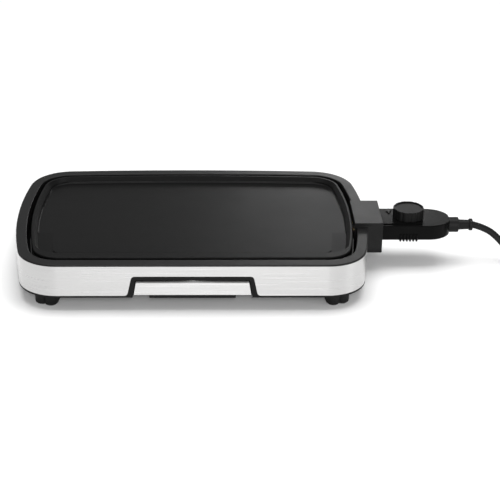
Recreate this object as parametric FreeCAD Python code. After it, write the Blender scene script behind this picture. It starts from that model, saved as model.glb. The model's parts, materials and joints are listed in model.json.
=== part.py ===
import FreeCAD, Part

import math
import os

# Electric griddle: a coated cast plate in a black frame with a steel band, a pull-out drip tray
# at the front, and a plug-in thermostat controller with its mains cord on the right.
# Millimetres. Origin at the middle of the body's footprint, on the surface it stands on.
# +X is to the right, +Y to the back and +Z up, as seen by the cook.

Vector = FreeCAD.Vector
UP = Vector(0, 0, 1)
DOWN = Vector(0, 0, -1)
RIGHT = Vector(1, 0, 0)
BACK = Vector(0, 1, 0)

# ---- driving dimensions: body outline -------------------------------------------------------
BODY_WIDTH = 450.0
BODY_DEPTH = 297.0
SIDE_RADIUS = 593.5
BACK_RADIUS = 3200.0
FRONT_CORNER = 50.0
BACK_CORNER = 55.0
HALF_WIDTH = BODY_WIDTH / 2
FRONT_Y = -BODY_DEPTH / 2
BACK_Y = BODY_DEPTH / 2

# ---- driving dimensions: heights ------------------------------------------------------------
COVER_BOTTOM = 17.8
COVER_TOP = 20.3
BAND_TOP = 59.8
RIM_TOP = 62.0
PLATE_TOP = 62.3
COOK_Z = 55.3
PLATE_BOTTOM = 50.5
SHIELD_Z = 36.5

# ---- driving dimensions: frame, band and plate ----------------------------------------------
BAND_THICKNESS = 0.6
WALL = 2.4
RIM_WIDTH = 13.6
RIM_WIDTH_FRONT = 15.2
RIM_ROUNDING = 1.1
PLATE_GAP = 5.6
CORNER_RIB = ((-202.5, -70.0), (-196.9, -119.0))
CORNER_RIB_THICKNESS = 1.0
CORNER_RIB_TOP = 60.6
LIP_WIDTH = 7.5
LIP_WIDTH_FRONT = 18.4
LIP_FLARE = 4.4
LIP_THICKNESS = 3.5
PLATE_WALL = 4.0
RAMP_START_Y = -42.0
RAMP_INNER_X = 178.0
RAMP_INNER_FRONT_X = 172.5
GUTTER_BACK_Y = -99.0
GUTTER_Z = 54.1
DRAIN_Y = -103.0
DRAIN_RADIUS = 5.5
SPOUT_RADIUS = 8.0
SPOUT_BOTTOM = 35.8

# ---- driving dimensions: notch and drip tray ------------------------------------------------
NOTCH_TOP_Z = 46.4
NOTCH_HALF_TOP = 74.3
NOTCH_HALF_BOTTOM = 79.9
BEZEL_DEPTH = 3.1
BEZEL_OPEN_Z = 41.3
BEZEL_OPEN_HALF_TOP = 69.8
BEZEL_OPEN_HALF_BOTTOM = 73.8
HANDLE_BOTTOM = 21.5
HANDLE_TOP = 37.6
HANDLE_HALF_TOP = 69.0
HANDLE_HALF_BOTTOM = 71.7
HANDLE_BEVEL = 2.5
TRAY_HALF = 62.0
TRAY_FRONT_Y = -143.0
TRAY_BACK_Y = -36.0
TRAY_FLOOR_Z = 21.2
TRAY_TOP_Z = 34.5
TRAY_WALL = 1.5
PULL_HALF = 53.0
PULL_BOTTOM = 16.4

# ---- driving dimensions: feet ---------------------------------------------------------------
OUTER_LOBE = (185.5, 124.0)
INNER_LOBE = (174.5, 128.5)
PAD_RADIUS = 7.2
PAD_HEIGHT = 3.4
PAD_PLAY = 0.1
FOOT_BOTTOM = 2.0
OUTER_LOBE_RADIUS = (9.6, 8.6)
INNER_LOBE_RADIUS = (12.5, 8.6)
INNER_LOBE_LEAN = (2.5, 2.0)

# ---- driving dimensions: socket block on the right side -------------------------------------
SOCKET_Y = -4.0
BLOCK_X0 = 207.1
BLOCK_X1 = 243.3
BLOCK_Y0 = -40.9
BLOCK_Y1 = 31.0
BLOCK_TOP = 68.2
BLOCK_BOTTOM = 31.0
CAP_BOTTOM = 26.0
BLOCK_WALL = 2.5
BLOCK_ROUNDING = 0.6
LEDGE = 1.2
LEDGE_Z = 65.4
LEDGE_END_X = 226.5
TERMINAL_Z = 47.25
PIN_OFFSET = 11.0
PIN_RADIUS = 2.5
PIN_END_X = 236.0
ELEMENT_RADIUS = 3.25
ELEMENT_END_X = 206.0
MOUTH_HALF_Y = 17.8
MOUTH_Z0 = 38.6
MOUTH_Z1 = 55.9
EARTH_Z = (40.6, 41.8)

# ---- driving dimensions: controller ---------------------------------------------------------
CTRL_X0 = 243.6
CTRL_NOSE_X = 305.0
CTRL_NOSE_LENGTH = 30.0
CTRL_END_X = 333.0
CTRL_ROOM_END_X = 330.5
CTRL_HALF = 27.8
CTRL_BOTTOM = 39.5
CTRL_SPLIT = 49.5
CTRL_TOP = 59.7
CTRL_WALL = 2.2
CTRL_BEVEL = 0.9
CTRL_LOW_ROUNDING = 2.6
CTRL_BOSS_RADIUS = 3.2
PANEL_Y = (-26.0, 21.0)
PANEL_END_X = 295.5
PANEL_TOP = 60.9
LENS_RISE = 1.4
GRIP_RIBS = 6
GRIP_RIB_X = 267.8
GRIP_RIB_PITCH = 4.15
GRIP_RIB_RADIUS = 1.3
NECK_X = (223.5, 252.0)
NECK_HALF = 17.0
NECK_Z = (39.4, 55.2)
NECK_INNER_Z = 41.9
KNOB_X = 280.0
KNOB_RADIUS = 19.8
KNOB_BOTTOM = 61.3
KNOB_TOP = 74.0
KNOB_FLUTES = 12
KNOB_FLUTE_RADIUS = 4.0
KNOB_FLUTE_DEPTH = 1.0
KNOB_RIM = 2.3
KNOB_DISH = 1.1
SPINDLE_RADIUS = 3.0
SPINDLE_DEPTH = 7.0
CAM_Z = (52.6, 55.2)
COLLAR_END_X = 345.7
COLLAR_RADIUS = 9.85
RELIEF_END_X = 364.5
RELIEF_RADIUS = (6.8, 6.1)
RING_X = 359.6
RING_RADIUS = 7.8

# ---- driving dimensions: cord and plug ------------------------------------------------------
CORD_DIAMETER = 8.8
CORD_LENGTH = 1500.0
CORD_REST_Z = 4.5
COIL_CENTRE = (482.0, 16.0)
COIL_INNER_TURN = 44.1
COIL_OUTER_TURN = 52.9
COIL_LAYER = 8.8
COIL_TOP_RISE = 7.6
LEAD_ROUTE = [
    (364.5, -4.0, 49.5),
    (382.5, -4.8, 44.8),
    (399.0, -8.6, 32.4),
    (413.0, -14.8, 16.6),
    (431.0, -22.8, 6.8),
    (454.0, -31.0, 4.6),
    (477.0, -35.5, 4.5),
]
TAIL_ROUTE = [
    (529.4, 5.9, 21.5),
    (533.8, 26.0, 22.8),
    (538.5, 47.0, 21.2),
    (540.5, 68.0, 18.6),
]
PLUG_AXIS_Z = 18.6
PLUG_FACE_Y = 124.0
PLUG_BODY_RADIUS = 18.5
PLUG_PIN_SPACING = 19.0
PLUG_PIN_RADIUS = 2.4
PLUG_PIN_LENGTH = 17.0
PLUG_TANG_RADIUS = 2.0
PLUG_TANG_DEPTH = 6.0
PLUG_TANG_REACH = 0.5
PLUG_CLIP_HALF = 2.6
PLUG_CLIP_OFFSET = 17.0
PLUG_CLIP_START = 38.0


# ---- small building blocks ------------------------------------------------------------------
def box(x0, x1, y0, y1, z0, z1):
    return Part.makeBox(x1 - x0, y1 - y0, z1 - z0, Vector(x0, y0, z0))


def rod(radius, start, end):
    """A cylinder from one point to another."""
    start = Vector(*start)
    along = Vector(*end) - start
    return Part.makeCylinder(radius, along.Length, start, along)


def taper(radius_start, radius_end, start, end):
    """A cone frustum from one point to another."""
    start = Vector(*start)
    along = Vector(*end) - start
    return Part.makeCone(radius_start, radius_end, along.Length, start, along)


def upright(radius, x, y, z0, z1):
    return rod(radius, (x, y, z0), (x, y, z1))


def joined(shapes):
    """One solid from several that overlap or share faces."""
    first, *rest = shapes
    return first.multiFuse(rest).removeSplitter() if rest else first


def group(shapes):
    """Separate solids kept together in one node."""
    return Part.makeCompound(shapes)


def mirrored_x(shape):
    return shape.mirror(Vector(0, 0, 0), RIGHT)


def mirrored_y(shape):
    return shape.mirror(Vector(0, 0, 0), BACK)


def arc_about(centre, start, end):
    """The shorter arc between two points that lie on a circle about the centre."""
    middle = (start - centre) + (end - centre)
    middle.normalize()
    return Part.Arc(start, centre + middle * (start - centre).Length, end).toShape()


def rounded_path(points, radii, closed=False):
    """Straight edges joined by tangent arcs: each corner gets its own radius."""
    points = [Vector(*point) for point in points]
    count = len(points)
    corners = []
    for index, point in enumerate(points):
        if not closed and index in (0, count - 1):
            corners.append((point, None, point))
            continue
        back = points[index - 1] - point
        ahead = points[(index + 1) % count] - point
        if radii[index] <= 0:
            corners.append((point, None, point))
            continue
        half_turn = (math.pi - back.getAngle(ahead)) / 2
        setback = radii[index] * math.tan(half_turn)
        back.normalize()
        ahead.normalize()
        bisector = back + ahead
        bisector.normalize()
        sagitta = radii[index] * (1 / math.cos(half_turn) - 1)
        corners.append((point + back * setback, point + bisector * sagitta, point + ahead * setback))
    edges = []
    for index, (enter, middle, leave) in enumerate(corners):
        if middle is not None:
            edges.append(Part.Arc(enter, middle, leave).toShape())
        if closed or index < count - 1:
            following = corners[(index + 1) % count][0]
            if (following - leave).Length > 1e-6:
                edges.append(Part.LineSegment(leave, following).toShape())
    return Part.Wire(edges)


def tube_along(path, radius):
    """A round bar swept along a wire of lines and tangent arcs."""
    start = path.Edges[0].valueAt(path.Edges[0].FirstParameter)
    heading = path.Edges[0].tangentAt(path.Edges[0].FirstParameter)
    section = Part.Wire([Part.makeCircle(radius, start, heading)])
    return path.makePipeShell([section], True, False)


def slab(wire, height):
    return Part.Face(wire).extrude(UP * height)


def front_profile(points, radii, y0, y1):
    """A closed outline in the XZ plane, extruded from y0 back to y1."""
    wire = rounded_path([(x, y0, z) for x, z in points], radii, closed=True)
    return Part.Face(wire).extrude(BACK * (y1 - y0))


def side_profile(points, x0, x1):
    """A closed outline of straight edges in the YZ plane, extruded from x0 to x1."""
    wire = rounded_path([(x0, y, z) for y, z in points], [0] * len(points), closed=True)
    return Part.Face(wire).extrude(RIGHT * (x1 - x0))


def edges_at(shape, z):
    """Edges that lie wholly at one height."""
    level = [edge for edge in shape.Edges if edge.BoundBox.ZLength < 0.01]
    return [edge for edge in level if abs(edge.BoundBox.ZMin - z) < 0.01]


# ---- the body's plan outline ----------------------------------------------------------------
def inner_tangent_centre(centre_a, radius_a, centre_b, radius_b, radius):
    """Centre of a circle that touches two larger circles from inside, nearest the +X+Y corner."""
    reach_a = radius_a - radius
    reach_b = radius_b - radius
    line = centre_b - centre_a
    gap = line.Length
    line.normalize()
    along = (reach_a ** 2 - reach_b ** 2 + gap ** 2) / (2 * gap)
    across = math.sqrt(reach_a ** 2 - along ** 2)
    foot = centre_a + line * along
    normal = Vector(-line.y, line.x, 0)
    candidates = [foot + normal * across, foot - normal * across]
    return max(candidates, key=lambda point: point.x)


def body_outline(inset, z, front_inset=None):
    """Straight front, bowed sides, gently bowed back and round corners, moved in by the inset."""
    front = FRONT_Y + (inset if front_inset is None else front_inset)
    side_centre = Vector(HALF_WIDTH - SIDE_RADIUS, 0, z)
    side_radius = SIDE_RADIUS - inset
    back_centre = Vector(0, BACK_Y - BACK_RADIUS, z)
    back_radius = BACK_RADIUS - inset
    front_radius = FRONT_CORNER - inset
    corner_y = front + front_radius
    corner_x = side_centre.x + math.sqrt((side_radius - front_radius) ** 2 - corner_y ** 2)
    front_corner = Vector(corner_x, corner_y, z)
    back_corner = inner_tangent_centre(
        side_centre, side_radius, back_centre, back_radius, BACK_CORNER - inset
    )

    def on_circle(centre, through, radius):
        direction = through - centre
        direction.normalize()
        return centre + direction * radius

    front_end = Vector(corner_x, front, z)
    side_low = on_circle(side_centre, front_corner, side_radius)
    side_high = on_circle(side_centre, back_corner, side_radius)
    back_end = on_circle(back_centre, back_corner, back_radius)
    right = [
        arc_about(front_corner, front_end, side_low),
        arc_about(side_centre, side_low, side_high),
        arc_about(back_corner, side_high, back_end),
    ]
    left = [mirrored_x(edge) for edge in right]
    back_end_left = Vector(-back_end.x, back_end.y, z)
    front_end_left = Vector(-front_end.x, front_end.y, z)
    front_edge = Part.LineSegment(front_end_left, front_end).toShape()
    back_edge = arc_about(back_centre, back_end, back_end_left)
    return Part.Wire(Part.sortEdges([front_edge] + right + [back_edge] + left)[0])


def body_slab(inset, z0, z1, front_inset=None):
    return slab(body_outline(inset, z0, front_inset), z1 - z0)


def body_ring(inset_out, inset_in, z0, z1):
    return body_slab(inset_out, z0, z1).cut(body_slab(inset_in, z0 - 1, z1 + 1))


# ---- places that several parts share --------------------------------------------------------
COVER_SCREW_CORNERS = [(120.0, -142.3), (120.0, 140.0), (216.2, -56.0), (216.2, 56.0)]
COVER_SCREWS = [(sign * x, y) for sign in (-1, 1) for x, y in COVER_SCREW_CORNERS]
STANDOFFS = [(sign_x * 125.0, sign_y * 55.0) for sign_x in (-1, 1) for sign_y in (-1, 1)]
CLAMPS = [(sign_x * 80.0, sign_y * 85.0) for sign_x in (-1, 1) for sign_y in (-1, 1)]
CLAMP_SCREW_OFFSET = 7.3
CAP_SCREWS = [(237.6, BLOCK_Y0 + 5.6), (237.6, BLOCK_Y1 - 5.6)]
CTRL_SCREWS = [(x, SOCKET_Y + sign * 17.5) for x in (257.0, 309.0) for sign in (-1, 1)]
PIN_YS = [SOCKET_Y - PIN_OFFSET, SOCKET_Y + PIN_OFFSET]


def notch_outline():
    """The trapezoid notch, open downwards, with round top corners and flared feet."""
    points = [
        (-86.0, COVER_BOTTOM - 6),
        (-86.0, COVER_TOP),
        (-NOTCH_HALF_BOTTOM, COVER_TOP),
        (-NOTCH_HALF_TOP, NOTCH_TOP_Z),
        (NOTCH_HALF_TOP, NOTCH_TOP_Z),
        (NOTCH_HALF_BOTTOM, COVER_TOP),
        (86.0, COVER_TOP),
        (86.0, COVER_BOTTOM - 6),
    ]
    return points, [0, 0, 4.5, 5.0, 5.0, 4.5, 0, 0]


def notch_cut(y0, y1):
    points, radii = notch_outline()
    return front_profile(points, radii, y0, y1)


# ---- base -----------------------------------------------------------------------------------
def corner_rib():
    """Thin straight rib in the gap at the front left corner, which keeps the plate centred."""
    (x0, y0), (x1, y1) = CORNER_RIB
    half = CORNER_RIB_THICKNESS / 2
    low = PLATE_BOTTOM
    points = [(x0 - half, y0, low), (x0 + half, y0, low), (x1 + half, y1, low), (x1 - half, y1, low)]
    return slab(rounded_path(points, [0, 0, 0, 0], closed=True), CORNER_RIB_TOP - low)


def base_frame():
    """Rim, outer wall, inner skirt, corner ribs and the socket block, moulded in one."""
    window = body_slab(RIM_WIDTH, BAND_TOP - 1, RIM_TOP + 1, RIM_WIDTH_FRONT)
    rim = body_slab(0, BAND_TOP, RIM_TOP).cut(window)
    rim = rim.makeFillet(RIM_ROUNDING, edges_at(rim, RIM_TOP))
    outer_wall = body_ring(BAND_THICKNESS, BAND_THICKNESS + WALL, COVER_TOP, BAND_TOP)
    skirt_out = body_slab(RIM_WIDTH - WALL, 46, BAND_TOP, RIM_WIDTH_FRONT - WALL)
    skirt = skirt_out.cut(body_slab(RIM_WIDTH, 45, BAND_TOP + 1, RIM_WIDTH_FRONT))
    bosses = [upright(4.2, x, y, COVER_TOP, 33) for x, y in COVER_SCREWS]
    ribs = [corner_rib(), mirrored_x(corner_rib())]
    shell = joined([rim, outer_wall, skirt] + ribs + bosses)
    shell = shell.cut(notch_cut(FRONT_Y - 1, FRONT_Y + 8))

    block = box(BLOCK_X0, BLOCK_X1, BLOCK_Y0, BLOCK_Y1, BLOCK_BOTTOM, BLOCK_TOP)
    sharp = [
        edge
        for edge in block.Edges
        if edge.BoundBox.XMin > BLOCK_X1 - 0.01 or abs(edge.BoundBox.ZMin - BLOCK_TOP) < 0.01
    ]
    sharp = [edge for edge in sharp if edge.BoundBox.ZMax > BLOCK_BOTTOM + 1]
    block = block.makeFillet(BLOCK_ROUNDING, sharp)
    ledge = box(BLOCK_X0, LEDGE_END_X, BLOCK_Y0 - LEDGE, BLOCK_Y1 + LEDGE, RIM_TOP - 1.5, LEDGE_Z)
    hollow = box(
        BLOCK_X0 + BLOCK_WALL,
        BLOCK_X1 - BLOCK_WALL,
        BLOCK_Y0 + BLOCK_WALL,
        BLOCK_Y1 - BLOCK_WALL,
        BLOCK_BOTTOM - 1,
        BLOCK_TOP - BLOCK_WALL,
    )
    below_rim = box(BLOCK_X0 - 1, 221.5, BLOCK_Y0 - 1, BLOCK_Y1 + 1, BLOCK_BOTTOM - 1, 44)
    cap_bosses = [upright(3.4, x, y, BLOCK_BOTTOM, 46) for x, y in CAP_SCREWS]
    mouth = box(
        BLOCK_X0 - 1, BLOCK_X1 + 1, SOCKET_Y - MOUTH_HALF_Y, SOCKET_Y + MOUTH_HALF_Y, MOUTH_Z0, MOUTH_Z1
    )
    shell = shell.cut(box(BLOCK_X0 - 4, 221.0, BLOCK_Y0 + BLOCK_WALL, BLOCK_Y1 - BLOCK_WALL, 40, BLOCK_TOP))
    block = block.cut(hollow.fuse(below_rim))
    frame = joined([shell, ledge.cut(hollow), block] + cap_bosses).cut(mouth)
    for x, y in CAP_SCREWS:
        frame = frame.cut(upright(1.25, x, y, BLOCK_BOTTOM - 1, 42))
    for x, y in COVER_SCREWS:
        frame = frame.cut(upright(1.5, x, y, COVER_TOP - 1, 31))
    return frame


def steel_band():
    """Brushed strip round the wall, open behind the socket block and cut for the tray notch."""
    band = body_ring(0, BAND_THICKNESS, COVER_TOP, BAND_TOP)
    band = band.cut(notch_cut(FRONT_Y - 1, FRONT_Y + 2))
    return band.cut(box(200, 230, BLOCK_Y0, BLOCK_Y1, COVER_TOP - 1, BAND_TOP + 1))


def bottom_cover():
    """Floor pan with the black lower lip and the bezel round the tray notch."""
    floor = body_slab(0, COVER_BOTTOM, COVER_TOP)
    points, radii = notch_outline()
    bezel = front_profile(points, radii, FRONT_Y, FRONT_Y + BEZEL_DEPTH)
    bezel = bezel.cut(box(-90, 90, FRONT_Y - 1, FRONT_Y + 8, 0, COVER_BOTTOM))
    cover = joined([floor, bezel])
    opening = [
        (-BEZEL_OPEN_HALF_BOTTOM, COVER_BOTTOM - 4),
        (-BEZEL_OPEN_HALF_TOP, BEZEL_OPEN_Z),
        (BEZEL_OPEN_HALF_TOP, BEZEL_OPEN_Z),
        (BEZEL_OPEN_HALF_BOTTOM, COVER_BOTTOM - 4),
    ]
    cover = cover.cut(front_profile(opening, [0, 1.6, 1.6, 0], FRONT_Y - 1, TRAY_FRONT_Y + 1))
    cover = cover.cut(box(-PULL_HALF + 3, PULL_HALF - 3, FRONT_Y, -133, COVER_BOTTOM - 1, COVER_TOP + 0.5))
    for x, y in COVER_SCREWS:
        cover = cover.cut(upright(1.7, x, y, COVER_BOTTOM - 1, COVER_TOP + 1))
    for x, y in STANDOFFS:
        cover = cover.cut(upright(2.2, x, y, COVER_BOTTOM - 1, COVER_TOP + 1))
    for x, y in foot_screw_places():
        cover = cover.cut(upright(1.7, x, y, COVER_BOTTOM - 1, COVER_TOP + 1))
    slots = []
    for column in range(-3, 4):
        for x_shift in (-150, 0, 150):
            x = x_shift + column * 11.0
            slots.append(box(x - 2, x + 2, 66, 104, COVER_BOTTOM - 1, COVER_TOP + 1))
    return cover.cut(group(slots))


def foot_places():
    return [
        ("front_left", -1, -1),
        ("front_right", 1, -1),
        ("rear_left", -1, 1),
        ("rear_right", 1, 1),
    ]


def foot_screw_places():
    return [(sx * x, sy * y) for _, sx, sy in foot_places() for x, y in (OUTER_LOBE, INNER_LOBE)]


def placed_corner(shape, sign_x, sign_y):
    """A front-left corner piece moved to another corner by mirroring."""
    if sign_x > 0:
        shape = mirrored_x(shape)
    if sign_y > 0:
        shape = mirrored_y(shape)
    return shape


def foot_lobe(place, radii, lean=(0.0, 0.0)):
    """Cone under the cover, level at both ends; a lean moves its top sideways."""
    x, y = place
    lean_x, lean_y = lean
    radius_top, radius_low = radii
    height = COVER_BOTTOM - FOOT_BOTTOM
    spare = (radius_top - radius_low) / 2
    high = (x + 1.5 * lean_x, y + 1.5 * lean_y, COVER_BOTTOM + height / 2)
    low = (x - 0.5 * lean_x, y - 0.5 * lean_y, FOOT_BOTTOM - height / 2)
    cone = taper(radius_top + spare, radius_low - spare, high, low)
    return cone.common(box(x - 30, x + 30, y - 30, y + 30, FOOT_BOTTOM, COVER_BOTTOM))


def foot():
    """Front-left foot: two tapered lobes that follow the corner, hollowed for the pad."""
    outer = (-OUTER_LOBE[0], -OUTER_LOBE[1])
    inner = (-INNER_LOBE[0], -INNER_LOBE[1])
    lobes = [foot_lobe(outer, OUTER_LOBE_RADIUS), foot_lobe(inner, INNER_LOBE_RADIUS, INNER_LOBE_LEAN)]
    body = joined(lobes)
    room = [upright(PAD_RADIUS + PAD_PLAY, x, y, FOOT_BOTTOM - 1, PAD_HEIGHT) for x, y in (outer, inner)]
    body = body.cut(joined(room))
    for x, y in (outer, inner):
        body = body.cut(upright(1.5, x, y, 8, COVER_BOTTOM + 1))
    return body


def foot_pad():
    outer = upright(PAD_RADIUS, -OUTER_LOBE[0], -OUTER_LOBE[1], 0, PAD_HEIGHT)
    inner = upright(PAD_RADIUS, -INNER_LOBE[0], -INNER_LOBE[1], 0, PAD_HEIGHT)
    pad = joined([outer, inner])
    return pad.makeFillet(0.8, edges_at(pad, 0))


def screw(x, y, z_head, z_tip, shank, head_radius, head_height, head_down=True):
    """A pan-head screw: the head sits beyond z_head, away from the tip."""
    end = z_head - head_height if head_down else z_head + head_height
    head = rod(head_radius, (x, y, z_head), (x, y, end))
    arm = head_radius * 0.6
    cross = [
        box(x - 0.5, x + 0.5, y - arm, y + arm, end - 0.8, end + 0.8),
        box(x - arm, x + arm, y - 0.5, y + 0.5, end - 0.8, end + 0.8),
    ]
    return joined([head, rod(shank, (x, y, z_head), (x, y, z_tip))]).cut(joined(cross))


# ---- cooking plate and heating --------------------------------------------------------------
def low_region(z0, z1):
    """Plan area of the two ramps and the front gutter, as a thick slab."""
    points = [
        (-RAMP_INNER_X, RAMP_START_Y, z0),
        (-RAMP_INNER_FRONT_X, GUTTER_BACK_Y, z0),
        (RAMP_INNER_FRONT_X, GUTTER_BACK_Y, z0),
        (RAMP_INNER_X, RAMP_START_Y, z0),
        (240.0, RAMP_START_Y, z0),
        (240.0, -150.0, z0),
        (-240.0, -150.0, z0),
        (-240.0, RAMP_START_Y, z0),
    ]
    radii = [0, 8.0, 8.0, 0, 0, 0, 0, 0]
    return slab(rounded_path(points, radii, closed=True), z1 - z0)


def cooking_plate():
    """Cast plate: lip with a sloped inside, sunk cook surface, two ramps and a gutter with a drain."""
    lip_inset = RIM_WIDTH + PLATE_GAP
    lip_front = RIM_WIDTH_FRONT + PLATE_GAP
    pocket_inset = lip_inset + LIP_WIDTH
    pocket_front = lip_front + LIP_WIDTH_FRONT
    body_inset = pocket_inset - PLATE_WALL
    body_front = pocket_front - PLATE_WALL

    lip = body_slab(lip_inset, PLATE_TOP - LIP_THICKNESS, PLATE_TOP, lip_front)
    lip = lip.makeFillet(1.3, edges_at(lip, PLATE_TOP))
    body = body_slab(body_inset, PLATE_BOTTOM, PLATE_TOP - LIP_THICKNESS, body_front)
    spout = upright(SPOUT_RADIUS, 0, DRAIN_Y, SPOUT_BOTTOM, PLATE_BOTTOM)
    bosses = [upright(5.5, x, y, 44, PLATE_BOTTOM) for x, y in STANDOFFS]
    probe_boss = box(176, 199, SOCKET_Y - 6.5, SOCKET_Y + 6.5, TERMINAL_Z - 6.5, PLATE_BOTTOM)
    plate = joined([lip, body, spout, probe_boss] + bosses)

    pocket = body_slab(pocket_inset, COOK_Z, PLATE_TOP + 1, pocket_front)
    pocket = pocket.makeFillet(2.4, edges_at(pocket, COOK_Z))
    flare_z = PLATE_TOP - LIP_FLARE
    flare = body_slab(pocket_inset - LIP_FLARE, flare_z, PLATE_TOP + 1, pocket_front - LIP_FLARE)
    flare = flare.makeChamfer(LIP_FLARE - 0.02, edges_at(flare, flare_z))
    fall = side_profile(
        [(RAMP_START_Y, COOK_Z), (GUTTER_BACK_Y, GUTTER_Z), (-130, GUTTER_Z), (-130, 61), (RAMP_START_Y, 61)],
        -230,
        230,
    )
    low = low_region(GUTTER_Z - 1, 61).common(fall)
    low = low.common(body_slab(pocket_inset + 0.3, GUTTER_Z - 2, 62, pocket_front + 0.3))
    plate = plate.cut(pocket).cut(flare).cut(low)
    plate = plate.cut(upright(DRAIN_RADIUS, 0, DRAIN_Y, SPOUT_BOTTOM - 1, GUTTER_Z + 1))
    plate = plate.cut(rod(4.5, (180, SOCKET_Y, TERMINAL_Z), (210, SOCKET_Y, TERMINAL_Z)))
    for x, y in STANDOFFS:
        plate = plate.cut(upright(2.0, x, y, 43, 49.5))
    for x, y in clamp_screw_places():
        plate = plate.cut(upright(1.5, x, y, PLATE_BOTTOM - 1, PLATE_BOTTOM + 3))
    return plate


def heating_element():
    """Tubular element: one loop under the plate, both ends at the socket."""
    near, far = PIN_YS
    points = [
        (ELEMENT_END_X, far, TERMINAL_Z),
        (172, far, TERMINAL_Z),
        (172, 85, TERMINAL_Z),
        (-160, 85, TERMINAL_Z),
        (-160, -85, TERMINAL_Z),
        (160, -85, TERMINAL_Z),
        (160, near, TERMINAL_Z),
        (ELEMENT_END_X, near, TERMINAL_Z),
    ]
    return tube_along(rounded_path(points, [0, 16, 28, 28, 28, 28, 16, 0]), ELEMENT_RADIUS)


def clamp_screw_places():
    return [(x, y + sign * CLAMP_SCREW_OFFSET) for x, y in CLAMPS for sign in (-1, 1)]


def element_clamps():
    """Sheet straps that hold the element against the plate."""
    strap = 1.2
    clamps = []
    for x, y in CLAMPS:
        ears = box(x - 7, x + 7, y - 10.5, y + 10.5, PLATE_BOTTOM - strap, PLATE_BOTTOM)
        hoop = rod(ELEMENT_RADIUS + strap, (x - 7, y, TERMINAL_Z), (x + 7, y, TERMINAL_Z))
        reach = ELEMENT_RADIUS + strap
        sides = box(x - 7, x + 7, y - reach, y + reach, TERMINAL_Z, PLATE_BOTTOM)
        room = rod(ELEMENT_RADIUS, (x - 8, y, TERMINAL_Z), (x + 8, y, TERMINAL_Z))
        slot = box(x - 8, x + 8, y - ELEMENT_RADIUS, y + ELEMENT_RADIUS, TERMINAL_Z, PLATE_BOTTOM + 1)
        above = box(x - 8, x + 8, y - 11, y + 11, PLATE_BOTTOM, PLATE_BOTTOM + 5)
        clamp = joined([ears, hoop, sides]).cut(room).cut(slot).cut(above)
        for sign in (-1, 1):
            screw_y = y + sign * CLAMP_SCREW_OFFSET
            clamp = clamp.cut(upright(1.5, x, screw_y, PLATE_BOTTOM - 3, PLATE_BOTTOM + 1))
        clamps.append(clamp)
    return group(clamps)


def heat_shield():
    """Shallow sheet pan that keeps the element's heat off the tray and the cover."""
    sheet = 0.8
    pan = body_slab(27, SHIELD_Z, 47, 27).cut(body_slab(27 + sheet, SHIELD_Z + sheet, 48, 27 + sheet))
    for x, y in STANDOFFS:
        pan = pan.cut(upright(4.5, x, y, SHIELD_Z - 1, SHIELD_Z + 2))
    pan = pan.cut(upright(SPOUT_RADIUS + 1, 0, DRAIN_Y, SHIELD_Z - 1, 48))
    return pan.cut(box(185, 215, SOCKET_Y - 24, SOCKET_Y + 24, SHIELD_Z + 2, 48))


def plate_standoffs():
    """Stepped spacers from the bottom cover through the shield to the plate's bosses."""
    spacers = []
    for x, y in STANDOFFS:
        spacer = joined([upright(6.5, x, y, COVER_TOP, SHIELD_Z), upright(4.5, x, y, SHIELD_Z, 44)])
        spacers.append(spacer.cut(upright(2.2, x, y, COVER_TOP - 1, 45)))
    return group(spacers)


# ---- socket ---------------------------------------------------------------------------------
def socket_insulator():
    """Ceramic block across the socket that carries the live parts."""
    block = box(212.5, 220.0, BLOCK_Y0 + BLOCK_WALL, BLOCK_Y1 - BLOCK_WALL, 44.0, 56.0)
    block = joined([block, box(212.5, 220.0, SOCKET_Y - 16, SOCKET_Y + 16, 36.5, 44.0)])
    for y in PIN_YS:
        block = block.cut(rod(PIN_RADIUS, (210, y, TERMINAL_Z), (222, y, TERMINAL_Z)))
    block = block.cut(rod(3.4, (210, SOCKET_Y, TERMINAL_Z), (222, SOCKET_Y, TERMINAL_Z)))
    return block.cut(box(210, 222, SOCKET_Y - 4, SOCKET_Y + 4, *EARTH_Z))


def terminal_pin(y):
    pin = rod(PIN_RADIUS, (ELEMENT_END_X, y, TERMINAL_Z), (PIN_END_X, y, TERMINAL_Z))
    tip = [edge for edge in pin.Edges if edge.BoundBox.XMin > PIN_END_X - 0.01]
    return pin.makeChamfer(0.9, tip)


def socket_cap():
    """Closes the overhanging part of the socket block from below."""
    cap = box(215, BLOCK_X1, BLOCK_Y0, BLOCK_Y1, CAP_BOTTOM, BLOCK_BOTTOM)
    low = [edge for edge in edges_at(cap, CAP_BOTTOM) if edge.BoundBox.XMax > BLOCK_X1 - 0.01]
    cap = cap.makeChamfer(1.4, low)
    cap = cap.cut(box(215, BLOCK_X1 - 2, BLOCK_Y0 + 2, BLOCK_Y1 - 2, CAP_BOTTOM + 2, BLOCK_BOTTOM + 1))
    cap = joined([cap] + [upright(3.4, x, y, CAP_BOTTOM + 1, BLOCK_BOTTOM) for x, y in CAP_SCREWS])
    for x, y in CAP_SCREWS:
        cap = cap.cut(upright(1.4, x, y, CAP_BOTTOM - 1, BLOCK_BOTTOM + 1))
        cap = cap.cut(upright(2.6, x, y, CAP_BOTTOM - 1, CAP_BOTTOM + 1.6))
    return cap.cut(body_slab(BAND_THICKNESS, 20, 60))


def probe_bush():
    """Guide bush in the plate's boss that the probe slides into."""
    bush = rod(4.5, (180, SOCKET_Y, TERMINAL_Z), (206, SOCKET_Y, TERMINAL_Z))
    return bush.cut(rod(3.3, (181.5, SOCKET_Y, TERMINAL_Z), (207, SOCKET_Y, TERMINAL_Z)))


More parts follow.
